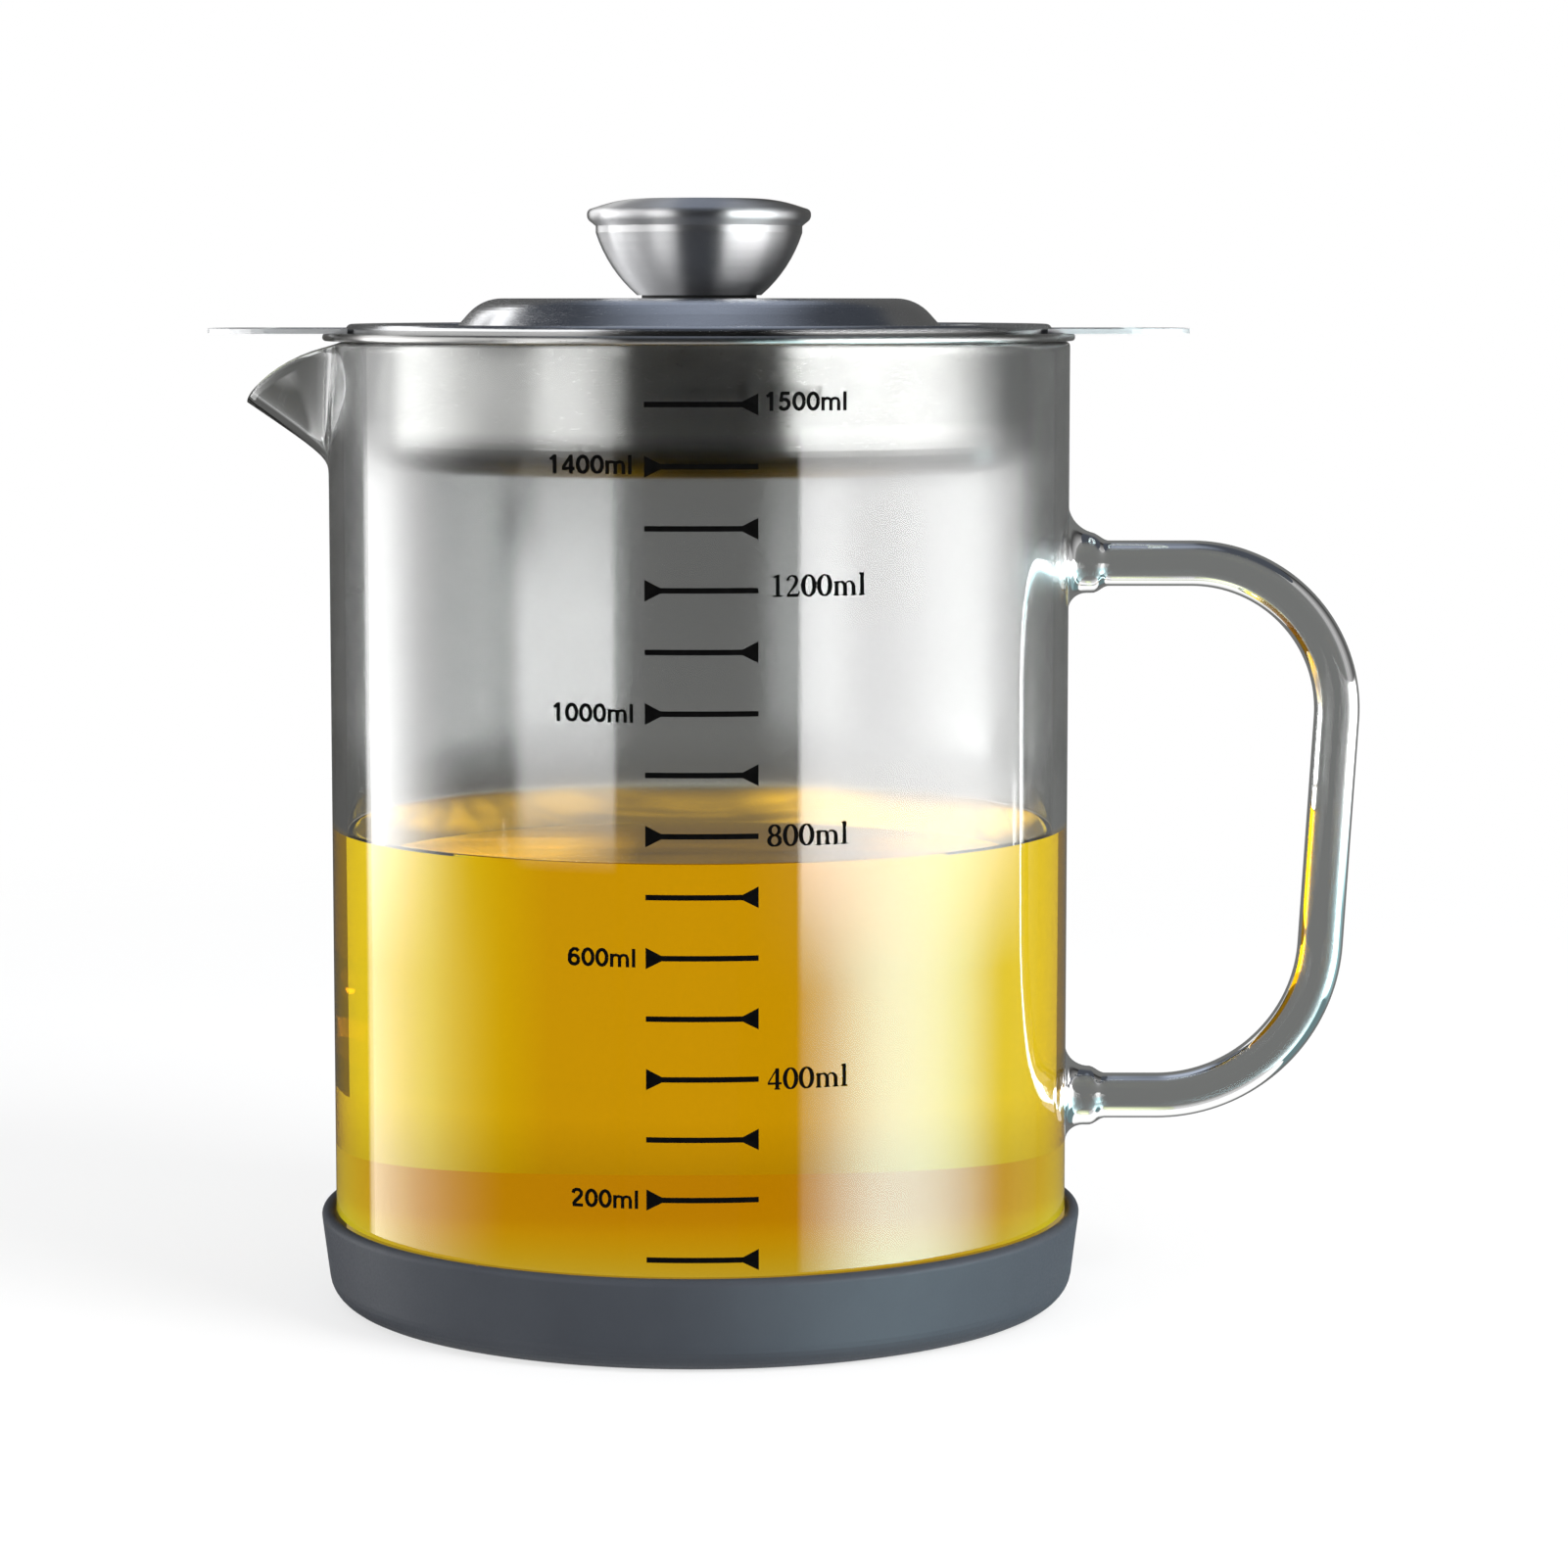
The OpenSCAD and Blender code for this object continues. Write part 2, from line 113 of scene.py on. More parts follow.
# How far to each side the wall is reshaped, and the share of the spout's half width where lip turns to rim
SPOUT_REACH, LIP_TO_RIM = SPOUT_TOP_W * 0.62, (0.72, 1.08)
OUTER_ROOT = KEEL_ROOT - SPOUT_SINK / KEEL_SLOPE
THROAT_ROOT = KEEL_ROOT + THROAT_RISE - SPOUT_SINK / KEEL_SLOPE
half_x, half_z = (LIP_START[0] - SPOUT_TIP[0]) / 2, (LIP_START[1] - SPOUT_TIP[1]) / 2
half_len = math.hypot(half_x, half_z)
lip_dist = math.sqrt(LIP_R ** 2 - half_len ** 2)
LIP_C = (
    SPOUT_TIP[0] + half_x + half_z / half_len * lip_dist,
    SPOUT_TIP[1] + half_z - half_x / half_len * lip_dist,
)
# Steps round the jug, rows up its top part, where that part starts, and the rings of points below it
STEPS, ROWS, Z_PLAIN, RIM_STEPS, HALVINGS = 288, 36, 120.0, 8, 30
FLAT_R = (12.0, 30.0, 46.0)
OUTSIDE_Z, INSIDE_Z = (14.0, 25.0, 45.0, 65.0, 85.0, 105.0), (105.0, 85.0, 65.0, 45.0, 25.0, 16.0)


def pull(z, y, root, inset):
    """How far the glass is pulled out along -X at height z and offset y."""
    half = SPOUT_FOOT_W + (SPOUT_TOP_W - SPOUT_FOOT_W) * (z - SPOUT_LOW) / (RIM_Z - SPOUT_LOW)
    half = max(half, SPOUT_LEAST_W) / 2 - inset
    if abs(y) >= half:
        return 0.0
    u = z - root
    ramp = (u + math.sqrt(u * u + KEEL_BLEND ** 2)) / 2
    p = KEEL_SLOPE * ramp * (1 + math.cos(math.pi * y / half)) / 2 - SPOUT_SINK
    if p >= SPOUT_SINK:
        return p
    return max(0.0, p + SPOUT_SINK) ** 2 / (4 * SPOUT_SINK)


def lip_height(x):
    return LIP_C[1] + math.sqrt(max(0.0, LIP_R ** 2 - min(0.0, x - LIP_C[0]) ** 2))


def wall_column(angle, r, root, inset):
    """Points up one face of the wall at an angle, from Z_PLAIN to just under the rim or the lip."""
    x0, y = r * math.cos(angle), r * math.sin(angle)
    near_spout = x0 < 0 and abs(y) < SPOUT_REACH
    top = RIM_Z
    if near_spout:
        # Halves the stretch in which the wall meets the lip, again and again
        low, high = KEEL_ROOT, RIM_Z
        for _ in range(HALVINGS):
            mid = (low + high) / 2
            if mid < lip_height(x0 - pull(mid, y, root, inset)):
                low = mid
            else:
                high = mid
        share = 1 - smoothstep(*LIP_TO_RIM, abs(y) / (SPOUT_TOP_W / 2 - inset))
        top = RIM_Z + share * (low - RIM_Z)
    top -= RIM_ROUND
    points = []
    for i in range(ROWS + 1):
        z = Z_PLAIN + (top - Z_PLAIN) * i / ROWS
        out = pull(z, y, root, inset) if near_spout else 0.0
        points.append((x0 - out, y, z))
    return points


def jug_column(angle):
    """Points at an angle, from under the foot up the outside, over the rim and down to the floor inside."""
    below = [(r, FOOT_Z) for r in FLAT_R]
    below += arc(JUG_R - HEEL, FOOT_Z + HEEL, HEEL, -90, 0, 12)
    below += [(JUG_R, z) for z in OUTSIDE_Z]
    outer = wall_column(angle, JUG_R, OUTER_ROOT, 0.0)
    inner = wall_column(angle, BORE_R, THROAT_ROOT, THROAT_INSET)
    middle = [(a + b) / 2 for a, b in zip(outer[-1], inner[-1])]
    rim = []
    for k in range(1, RIM_STEPS):
        turn = math.pi * k / RIM_STEPS
        x, y, z = [mid + (start - mid) * math.cos(turn) for start, mid in zip(outer[-1], middle)]
        rim.append((x, y, z + RIM_ROUND * math.sin(turn)))
    inside = [(BORE_R, z) for z in INSIDE_Z]
    inside += arc(BORE_R - BORE_HEEL, FLOOR_Z + BORE_HEEL, BORE_HEEL, 0, -90, 10)
    inside += [(r, FLOOR_Z) for r in FLAT_R[::-1]]
    c, s = math.cos(angle), math.sin(angle)
    column = [(r * c, r * s, z) for r, z in below] + outer + rim + inner[::-1]
    return column + [(r * c, r * s, z) for r, z in inside]


columns = [jug_column(2 * math.pi * i / STEPS) for i in range(STEPS)]
jug = mesh_piece("jug_glass", *skin(columns, (0, 0, FOOT_Z), (0, 0, FLOOR_Z)))
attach(jug, "jug")
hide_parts("glass_jug")

# Handle: a bent rod that flares onto the wall at both ends, and more on its upper side
TOP_Z, LOW_Z, ROD_R, COLLAR_R, COLLAR_FADE = 120.3, 32.5, 3.7, 4.85, (4.0, 6.6)
FLARE_R, TOP_UP_FLARE, LOW_UP_FLARE = 3.0, 2.2, 1.0
TOP_BEND, TOP_C, LOW_BEND, LOW_C_Z, LEAN = 24.0, (80.1, 96.3), 26.8, 59.3, 3.4
lean = math.radians(LEAN)
low_c_x = TOP_C[0] + (TOP_BEND - LOW_BEND - (TOP_C[1] - LOW_C_Z) * math.sin(lean)) / math.cos(lean)
# How far from the wall the rod still wraps round it, and how deep its foot sinks in
WRAP, SUNK = 6.0, 0.03
FOOT_STEPS = [0.0, 0.12, 0.3, 0.55, 0.9, 1.3, 1.8, 2.4, 3.0, 3.6]
FOOT_STEPS += [4.2, 4.7, 5.1, 5.5, 5.9, 6.4, 7.0, 8.0, 9.4, 11.0]
BEND_STEPS, GRIP_STEPS, SIDES = 40, 16, 40
# Distance from the wall that stands for all of the rod past its feet
FREE = 99.0


def rod_radius(h, flare):
    """Radius of the rod at a distance h from the wall, where its foot spreads by the flare."""
    radius = COLLAR_R + (ROD_R - COLLAR_R) * smoothstep(*COLLAR_FADE, h)
    if h < flare:
        radius += flare - math.sqrt(flare ** 2 - (flare - h) ** 2)
    return radius


def bend(cx, cz, r, start, end):
    """The rod's middle line round a bend: places (x, z), the turn from straight up, and FREE."""
    places = arc(cx, cz, r, start, end, BEND_STEPS)
    return [(x, z, math.atan2(x - cx, z - cz), FREE) for x, z in places]


line = [(JUG_R + h, TOP_Z, 0.0, h) for h in FOOT_STEPS]
line += [(x, TOP_Z, 0.0, FREE) for x in (73.0, 75.0, 77.0, 78.6)]
line += bend(*TOP_C, TOP_BEND, 90, -LEAN)
low_bend = bend(low_c_x, LOW_C_Z, LOW_BEND, -LEAN, -90)
grip = list(zip(line[-1], low_bend[0]))
line += [tuple(a + (b - a) * i / GRIP_STEPS for a, b in grip) for i in range(1, GRIP_STEPS)]
line += low_bend
line += [(x, LOW_Z, math.pi, FREE) for x in (73.4, 72.2)]
line += [(JUG_R + h, LOW_Z, math.pi, h) for h in FOOT_STEPS[::-1]]
columns = [[] for _ in range(SIDES)]
for x, z, turn, h in line:
    up_flare = TOP_UP_FLARE if z > (TOP_Z + LOW_Z) / 2 else LOW_UP_FLARE
    for k in range(SIDES):
        t = 2 * math.pi * k / SIDES
        radius = rod_radius(h, FLARE_R + up_flare * max(0.0, math.cos(t) * math.cos(turn)) ** 2)
        out, y = radius * math.cos(t), radius * math.sin(t)
        px, pz = x + out * math.sin(turn), z + out * math.cos(turn)
        if h < WRAP:
            px -= (JUG_R - math.sqrt(JUG_R ** 2 - y * y)) * (1 - smoothstep(0.0, WRAP, h)) + SUNK
        columns[k].append((px, y, pz))
handle = mesh_piece("handle_glass", *skin(columns, (JUG_R - SUNK, 0, TOP_Z), (JUG_R - SUNK, 0, LOW_Z)))
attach(handle, "jug")
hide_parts("glass_handle")

# Oil: fills the glass to about half its height, a little way into the wall, and creeps up at its edge
OIL_OVER, MENISCUS, CREEP = 0.06, 0.5, 0.9
OIL_R, OIL_FLOOR, oil_heel = BORE_R + OIL_OVER, FLOOR_Z - OIL_OVER, BORE_HEEL + OIL_OVER
profile = [(0, OIL_FLOOR)]
profile += arc(OIL_R - oil_heel, OIL_FLOOR + oil_heel, oil_heel, -90, 0, 10)
profile += [(OIL_R, z) for z in (20.0, 40.0, 60.0, 76.0, OIL_Z + MENISCUS)]
for d in (0.1, 0.3, 0.6, 1.0, 1.6, 2.4, 3.6, 6.0):
    profile.append((BORE_R - d, OIL_Z + MENISCUS * math.exp(-d / CREEP)))
profile += [(r, OIL_Z) for r in (40.0, 20.0, 0)]
oil = turned("oil", profile)
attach(oil, "jug")

# Net: woven steel wire, held round its edge under the ring
NET_R, NET_Z, NET_PITCH = 48.2, 136.9, 2.2
WIRE_R, WIRE_SIDES, WEAVE, STEPS_PER_PITCH = 0.15, 5, 0.95, 4


def add_wire(verts, faces, i, across):
    """Adds one wire of the net, i pitches from the middle. It runs along X, or along Y if it is across."""
    offset = i * NET_PITCH
    half = math.sqrt(NET_R ** 2 - offset ** 2)
    count = int(2 * half / (NET_PITCH / STEPS_PER_PITCH))
    first = len(verts)
    for k in range(count + 1):
        u = -half + 2 * half * k / count
        lift = WIRE_R * WEAVE * math.cos(math.pi * (u / NET_PITCH + i + across))
        for side in range(WIRE_SIDES):
            t = 2 * math.pi * side / WIRE_SIDES
            v, z = offset + WIRE_R * math.cos(t), NET_Z + lift + WIRE_R * math.sin(t)
            verts.append((v, u, z) if across else (u, v, z))
    for k in range(count):
        for side in range(WIRE_SIDES):
            ring_at = first + k * WIRE_SIDES
            p, q = ring_at + side, ring_at + (side + 1) % WIRE_SIDES
            quad = (p, q, q + WIRE_SIDES, p + WIRE_SIDES)
            faces.append(quad if across else quad[::-1])


verts, faces = [], []
reach = int(NET_R / NET_PITCH)
for across in (0, 1):
    for i in range(-reach, reach + 1):
        add_wire(verts, faces, i, across)
net = mesh_piece("net_wire", verts, faces)
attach(net, "strainer")
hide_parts("strainer_net")

# Scale: lines with arrow heads and plain numbers, printed on the front of the glass
PRINT_R = JUG_R + 0.05
SCALE_LOW, SCALE_STEP, SCALE_MARKS = 17.63, 9.277, 15
LINE_FROM, LINE_TO, LINE_T, HEAD_L, HEAD_W = -7.2, 9.9, 0.84, 3.2, 3.3
LINE_STEPS, HEAD_STEPS = 12, 4
# Style, left and right end, and shift up, of each number
LABELS = {
    1500: ("plain", 10.7, 23.3, 0.45),
    1400: ("plain", -21.9, -8.9, 0.3),
    1200: ("serif", 11.5, 26.2, 0.7),
    1000: ("plain", -21.5, -8.8, 0.05),
    800: ("serif", 11.1, 23.6, 0.1),
    600: ("plain", -19.2, -8.6, 0.0),
    400: ("serif", 11.1, 23.6, 0.0),
    200: ("plain", -18.8, -8.3, 0.0),
}
LABEL_H = {"plain": 2.85, "serif": 3.35}
WEIGHT = {"plain": 1.12, "serif": 1.35}


def ring(cx, cy, rx, ry, thick, thin):
    """An oval stroke, thick at its sides and thin at its top and foot."""
    points = []
    for k in range(25):
        c, s = math.cos(2 * math.pi * k / 24), math.sin(2 * math.pi * k / 24)
        points.append((cx + rx * c, cy + ry * s, thin + (thick - thin) * abs(c)))
    return points


def stroke(width, *points):
    return [(x, y, width) for x, y in points]


# Each sign is a width and strokes of (x, y, thickness), and CAP is how high a number stands
CAP, BOLD = 0.7, 0.12
SIGNS = {
    "plain": {
        "0": (0.5, [ring(0.25, 0.35, 0.175, 0.29, BOLD, BOLD)]),
        "1": (0.5, [
            stroke(BOLD, (0.27, 0.0), (0.27, 0.7)),
            stroke(0.1, (0.1, 0.53), (0.18, 0.57), (0.25, 0.66)),
        ]),
        "2": (0.5, [
            stroke(
                BOLD, (0.08, 0.5), (0.11, 0.6), (0.2, 0.645), (0.3, 0.635), (0.38, 0.56),
                (0.375, 0.45), (0.3, 0.34), (0.17, 0.21), (0.09, 0.08),
            ),
            stroke(0.11, (0.06, 0.055), (0.44, 0.055)),
        ]),
        "4": (0.5, [
            stroke(BOLD, (0.34, 0.0), (0.34, 0.7)),
            stroke(0.1, (0.34, 0.66), (0.06, 0.22)),
            stroke(0.11, (0.03, 0.19), (0.47, 0.19)),
        ]),
        "5": (0.5, [
            stroke(0.11, (0.42, 0.645), (0.13, 0.645)),
            stroke(0.1, (0.15, 0.68), (0.1, 0.33)),
            stroke(
                BOLD, (0.09, 0.36), (0.19, 0.42), (0.3, 0.41), (0.38, 0.33), (0.39, 0.2),
                (0.32, 0.09), (0.22, 0.055), (0.13, 0.08), (0.07, 0.16),
            ),
        ]),
        "6": (0.5, [
            ring(0.25, 0.225, 0.16, 0.165, BOLD, BOLD),
            stroke(
                BOLD, (0.41, 0.55), (0.34, 0.63), (0.24, 0.635), (0.14, 0.55), (0.095, 0.4), (0.092, 0.22),
            ),
        ]),
        "m": (0.78, [
            stroke(0.11, (0.1, 0.0), (0.1, 0.5)),
            stroke(0.11, (0.38, 0.0), (0.38, 0.34)),
            stroke(0.11, (0.66, 0.0), (0.66, 0.34)),
            stroke(0.1, (0.1, 0.34), (0.16, 0.43), (0.25, 0.455), (0.34, 0.43), (0.38, 0.33)),
            stroke(0.1, (0.38, 0.34), (0.44, 0.43), (0.53, 0.455), (0.62, 0.43), (0.66, 0.33)),
        ]),
        "l": (0.2, [stroke(0.11, (0.1, 0.0), (0.1, 0.7))]),
    },
    "serif": {
        "0": (0.5, [ring(0.25, 0.34, 0.18, 0.325, 0.1, 0.04)]),
        "1": (0.5, [
            stroke(0.09, (0.27, 0.0), (0.27, 0.69)),
            stroke(0.04, (0.12, 0.018), (0.42, 0.018)),
            stroke(0.05, (0.12, 0.6), (0.27, 0.66)),
        ]),
        "2": (0.5, [
            [
                (0.08, 0.5, 0.08), (0.12, 0.61, 0.05), (0.22, 0.66, 0.045), (0.33, 0.62, 0.075),
                (0.37, 0.52, 0.095), (0.34, 0.41, 0.08), (0.23, 0.24, 0.05), (0.09, 0.07, 0.035),
            ],
            stroke(0.075, (0.06, 0.04), (0.42, 0.04)),
            stroke(0.035, (0.42, 0.05), (0.45, 0.16)),
        ]),
        "4": (0.5, [
            stroke(0.09, (0.33, 0.0), (0.33, 0.68)),
            stroke(0.035, (0.32, 0.67), (0.05, 0.21)),
            stroke(0.055, (0.03, 0.19), (0.47, 0.19)),
            stroke(0.035, (0.24, 0.016), (0.42, 0.016)),
        ]),
        "8": (0.5, [
            ring(0.25, 0.51, 0.145, 0.155, 0.085, 0.04),
            ring(0.25, 0.18, 0.17, 0.165, 0.095, 0.04),
        ]),
        "m": (0.8, [
            stroke(0.085, (0.13, 0.0), (0.13, 0.46)),
            stroke(0.085, (0.4, 0.0), (0.4, 0.34)),
            stroke(0.085, (0.67, 0.0), (0.67, 0.34)),
            [(0.13, 0.34, 0.03), (0.21, 0.43, 0.04), (0.31, 0.44, 0.06), (0.4, 0.33, 0.085)],
            [(0.4, 0.34, 0.03), (0.48, 0.43, 0.04), (0.58, 0.44, 0.06), (0.67, 0.33, 0.085)],
            stroke(0.035, (0.04, 0.016), (0.22, 0.016)),
            stroke(0.035, (0.31, 0.016), (0.49, 0.016)),
            stroke(0.035, (0.58, 0.016), (0.76, 0.016)),
            stroke(0.04, (0.05, 0.41), (0.13, 0.44)),
        ]),
        "l": (0.28, [
            stroke(0.085, (0.14, 0.0), (0.14, 0.72)),
            stroke(0.035, (0.04, 0.016), (0.24, 0.016)),
            stroke(0.04, (0.05, 0.67), (0.14, 0.7)),
        ]),
    },
}


def on_glass(x, z):
    return (x, -math.sqrt(PRINT_R ** 2 - x * x), z)


verts, faces = [], []


def print_strip(pairs):
    """Prints a strip between two rows of (x, z) points; its right side comes first."""
    first = len(verts)
    for right, left in pairs:
        verts.extend((on_glass(*right), on_glass(*left)))
    for k in range(first, first + 2 * len(pairs) - 2, 2):
        faces.append((k, k + 2, k + 3, k + 1))


def sides(points, k, weight):
    """The two sides of a stroke at its point k."""
    (ax, ay, _), (bx, by, _) = points[max(k - 1, 0)], points[min(k + 1, len(points) - 1)]
    x, y, width = points[k]
    scale = weight * width / 2 / math.hypot(bx - ax, by - ay)
    return (x + (by - ay) * scale, y - (bx - ax) * scale), (x - (by - ay) * scale, y + (bx - ax) * scale)


def mark_height(mark):
    return SCALE_LOW + SCALE_STEP * (mark - 1)


for mark in range(1, SCALE_MARKS + 1):
    z = mark_height(mark)
    steps = [LINE_FROM + (LINE_TO - LINE_FROM) * k / LINE_STEPS for k in range(LINE_STEPS + 1)]
    print_strip([((x, z - LINE_T / 2), (x, z + LINE_T / 2)) for x in steps])
    base, way = (LINE_TO, 1) if mark % 2 else (LINE_FROM, -1)
    head = []
    for k in range(HEAD_STEPS + 1):
        h = max(LINE_T, HEAD_W * k / HEAD_STEPS) / 2 * way
        x = base - way * HEAD_L * (1 - k / HEAD_STEPS)
        head.append(((x, z - h), (x, z + h)))
    print_strip(head)
for mark, (style, left, right, shift) in LABELS.items():
    word = f"{mark}ml"
    across = (right - left) / sum(SIGNS[style][sign][0] for sign in word)
    up = LABEL_H[style] / CAP
    x0, z0 = left, mark_height(mark / 100) + shift - LABEL_H[style] / 2
    for sign in word:
        width, strokes = SIGNS[style][sign]
        for points in strokes:
            pairs = [sides(points, k, WEIGHT[style]) for k in range(len(points))]
            print_strip([[(x0 + across * x, z0 + up * y) for x, y in pair] for pair in pairs])
        x0 += across * width
scale = mesh_piece("ml_scale", verts, faces, smooth=False)
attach(scale, "jug")


# Materials

class Nodes:
    """Builds one node material."""

    def __init__(self, name):
        self.material = bpy.data.materials.new(name)
        self.material.use_nodes = True
        self.tree = self.material.node_tree
        self.shader = self.tree.nodes["Principled BSDF"]
        self.output = self.tree.nodes["Material Output"]

    def add(self, kind, inputs=None, **settings):
        node = self.tree.nodes.new(kind)
        for key, value in settings.items():
            setattr(node, key, value)
        for key, value in (inputs or {}).items():
            self.set(node.inputs[key], value)
        return node

    def set(self, socket, value):
        if isinstance(value, bpy.types.NodeSocket):
            self.tree.links.new(value, socket)
        else:
            socket.default_value = value

    def principled(self, **inputs):
        for key, value in inputs.items():
            self.set(self.shader.inputs[key.replace("_", " ")], value)

    def feeds(self, name):
        """What is plugged into one of the shader's sockets."""
        return self.shader.inputs[name].links[0].from_socket

    def math(self, operation, a, b=0.0):
        return self.add("ShaderNodeMath", {0: a, 1: b}, operation=operation).outputs[0]

    def times(self, a, b):
        return self.math("MULTIPLY", a, b)

    def noise(self, vector, scale, detail=3.0, roughness=0.55):
        inputs = {"Vector": vector, "Scale": scale, "Detail": detail, "Roughness": roughness}
        return self.add("ShaderNodeTexNoise", inputs).outputs["Fac"]

    def ramp(self, value, low, high, out_low, out_high, smooth=False):
        node = self.add("ShaderNodeMapRange", {0: value, 1: low, 2: high, 3: out_low, 4: out_high})
        node.interpolation_type = "SMOOTHSTEP" if smooth else "LINEAR"
        return node.outputs[0]

    def mix(self, share, a, b):
        return self.add("ShaderNodeMix", {0: share, 2: a, 3: b}).outputs[0]

    def tint(self, share, a, b):
        """Mixes two colours, each of them (r, g, b) or a socket."""
        a, b = [(*colour, 1.0) if isinstance(colour, tuple) else colour for colour in (a, b)]
        return self.add("ShaderNodeMix", {0: share, 6: a, 7: b}, data_type="RGBA").outputs[2]

    def bump(self, height, strength, distance):
        inputs = {"Height": height, "Strength": strength, "Distance": distance}
        return self.add("ShaderNodeBump", inputs).outputs["Normal"]

    def place(self):
        return self.add("ShaderNodeTexCoord").outputs["Object"]

    def axes(self):
        return self.add("ShaderNodeSeparateXYZ", {0: self.place()}).outputs

    def radius_height(self):
        x, y, z = self.axes()
        return self.math("SQRT", self.math("ADD", self.times(x, x), self.times(y, y))), z

    def round_axis(self, along):
        """A place given as (radius, height, a little of the angle), so that noise on it runs round Z."""
        x, y, _ = self.axes()
        r, z = self.radius_height()
        angle = self.times(self.math("ARCTAN2", y, x), along)
        return self.add("ShaderNodeCombineXYZ", {0: r, 1: z, 2: angle}).outputs[0]

    def stretched(self, factors):
        return self.add("ShaderNodeMapping", {"Vector": self.place(), "Scale": factors}).outputs[0]

    def mirrored(self):
        """1 for light that steel or glass has mirrored on its way, and 0 for light straight through."""
        return self.math("MINIMUM", self.add("ShaderNodeLightPath").outputs["Glossy Depth"], 1.0)

    def through_oil(self):
        """1 for light that has crossed more faces than the empty jug has, so came through the oil."""
        faces_crossed = self.add("ShaderNodeLightPath").outputs["Transmission Depth"]
        return self.math("GREATER_THAN", faces_crossed, EMPTY_FACES + 0.5)


# Faces of the empty jug that light crosses, two in each wall
EMPTY_FACES = 4


def dress(m, *names):
    for name in names:
        piece = nodes.get(name) or bpy.data.objects[name]
        piece.data.materials.clear()
        piece.data.materials.append(m.material)


def steel(name, dark, light, rough, spread, brushed=0.0, grain=1500.0, ridge=0.06):
    """Steel with fine lines, which run round the axis where it is brushed and along X where it isn't."""
    m = Nodes(name)
    place = m.round_axis(0.004) if brushed else m.stretched((0.03, 1.0, 1.0))
    lines = m.noise(place, grain, detail=5.0, roughness=0.7)
    stains = m.noise(m.place(), scale=60.0)
    wear = m.math("ADD", lines, m.times(stains, 0.3))
    m.principled(
        Base_Color=m.tint(m.ramp(stains, 0.3, 0.7, 0.0, 1.0), dark, light),
        Metallic=1.0,
        Roughness=m.ramp(wear, 0.4, 0.9, rough, rough + spread),
        Normal=m.bump(lines, strength=ridge, distance=0.00004),
    )
    if brushed:
        around = m.add("ShaderNodeTangent", direction_type="RADIAL", axis="Z")
        m.principled(Anisotropic=brushed, Anisotropic_Rotation=0.25, Tangent=around.outputs[0])
    return m


def paint_shade_below(m, z, fade, shade_colour):
    """Darkens the steel under a height: painted shade where a joint or a bend lies in shadow."""
    below = m.ramp(m.axes()[2], z - fade, z, 0.0, 1.0)
    m.principled(Base_Color=m.tint(below, shade_colour, m.feeds("Base Color")))


m = steel(
    "strainer_steel", dark=(0.3, 0.297, 0.29), light=(0.38, 0.376, 0.37),
    rough=0.25, spread=0.1, brushed=0.97, grain=6000.0, ridge=0.03,
)
# Painted shade: the strainer's steel turns dark towards its bottom bend, which dims the reflection there
paint_shade_below(m, z=0.143, fade=0.0045, shade_colour=(0.055, 0.054, 0.052))
dress(m, "strainer_cup", "net_ring")
m = steel(
    "lid_steel", dark=(0.56, 0.57, 0.59), light=(0.66, 0.665, 0.68),
    rough=0.18, spread=0.12, brushed=0.4, grain=4000.0, ridge=0.03,
)
# Painted shade: the foot of the lid's rolled edge is dark, where the gap over the flange lies in shadow
paint_shade_below(m, z=0.1584, fade=0.0002, shade_colour=(0.26, 0.26, 0.26))
dress(m, "lid_shell")
m = steel(
    "knob_steel", dark=(0.5, 0.5, 0.505), light=(0.66, 0.66, 0.665),
    rough=0.36, spread=0.1, brushed=0.95, grain=4000.0, ridge=0.02,
)
dress(m, "knob_cup", "knob_cap")
m = steel("ear_steel", dark=(0.55, 0.56, 0.57), light=(0.66, 0.665, 0.67), rough=0.5, spread=0.15)
dress(m, "left_ear", "right_ear")
m = steel("fastener_steel", dark=(0.42, 0.42, 0.42), light=(0.58, 0.58, 0.58), rough=0.26, spread=0.16)
dress(m, "knob_nut", "lid_screw", "screw_washer")
m = steel("wire_steel", dark=(0.5, 0.5, 0.51), light=(0.62, 0.62, 0.63), rough=0.24, spread=0.12)
dress(m, "net_wire")

m = Nodes("silicone")
fine = m.noise(m.place(), scale=2600.0, detail=2.0)
broad = m.noise(m.place(), scale=45.0)
m.principled(
    Base_Color=m.tint(m.ramp(broad, 0.3, 0.7, 0.0, 1.0), (0.039, 0.0435, 0.053), (0.048, 0.0535, 0.064)),
    Roughness=m.ramp(fine, 0.3, 0.7, 0.46, 0.6),
    Normal=m.bump(fine, strength=0.1, distance=0.00004),
    Specular_IOR_Level=0.18,
)
dress(m, "silicone_base")
# The light table shines through the base, so the oil is lit from below
nodes["silicone_base"].visible_transmission = False

m = Nodes("gasket")
fine = m.noise(m.place(), scale=1800.0, detail=2.0)
m.principled(
    Base_Color=m.tint(fine, (0.012, 0.012, 0.012), (0.03, 0.03, 0.03)),
    Roughness=m.ramp(fine, 0.3, 0.7, 0.55, 0.75),
)
dress(m, "knob_gasket")

CLEAR, GLASS_IOR, OIL_IOR = (0.985, 0.995, 0.99), 1.47, 1.45


def glass(name):
    m = Nodes(name)
    smear = m.noise(m.place(), scale=70.0, detail=4.0)
    waves = m.noise(m.stretched((1.0, 1.0, 0.35)), scale=26.0, detail=1.0)
    m.principled(
        Base_Color=(*CLEAR, 1.0),
        Roughness=m.ramp(smear, 0.55, 0.8, 0.0, 0.012),
        IOR=GLASS_IOR,
        Transmission_Weight=1.0,
        Normal=m.bump(waves, strength=0.05, distance=0.0001),
    )
    return m


# The handle mirrors less of the studio than the jug does
m = glass("handle_glass")
m.principled(Specular_Tint=(0.12, 0.12, 0.12, 1.0))
dress(m, "handle_glass")

m = glass("jug_glass")
r, z = m.radius_height()
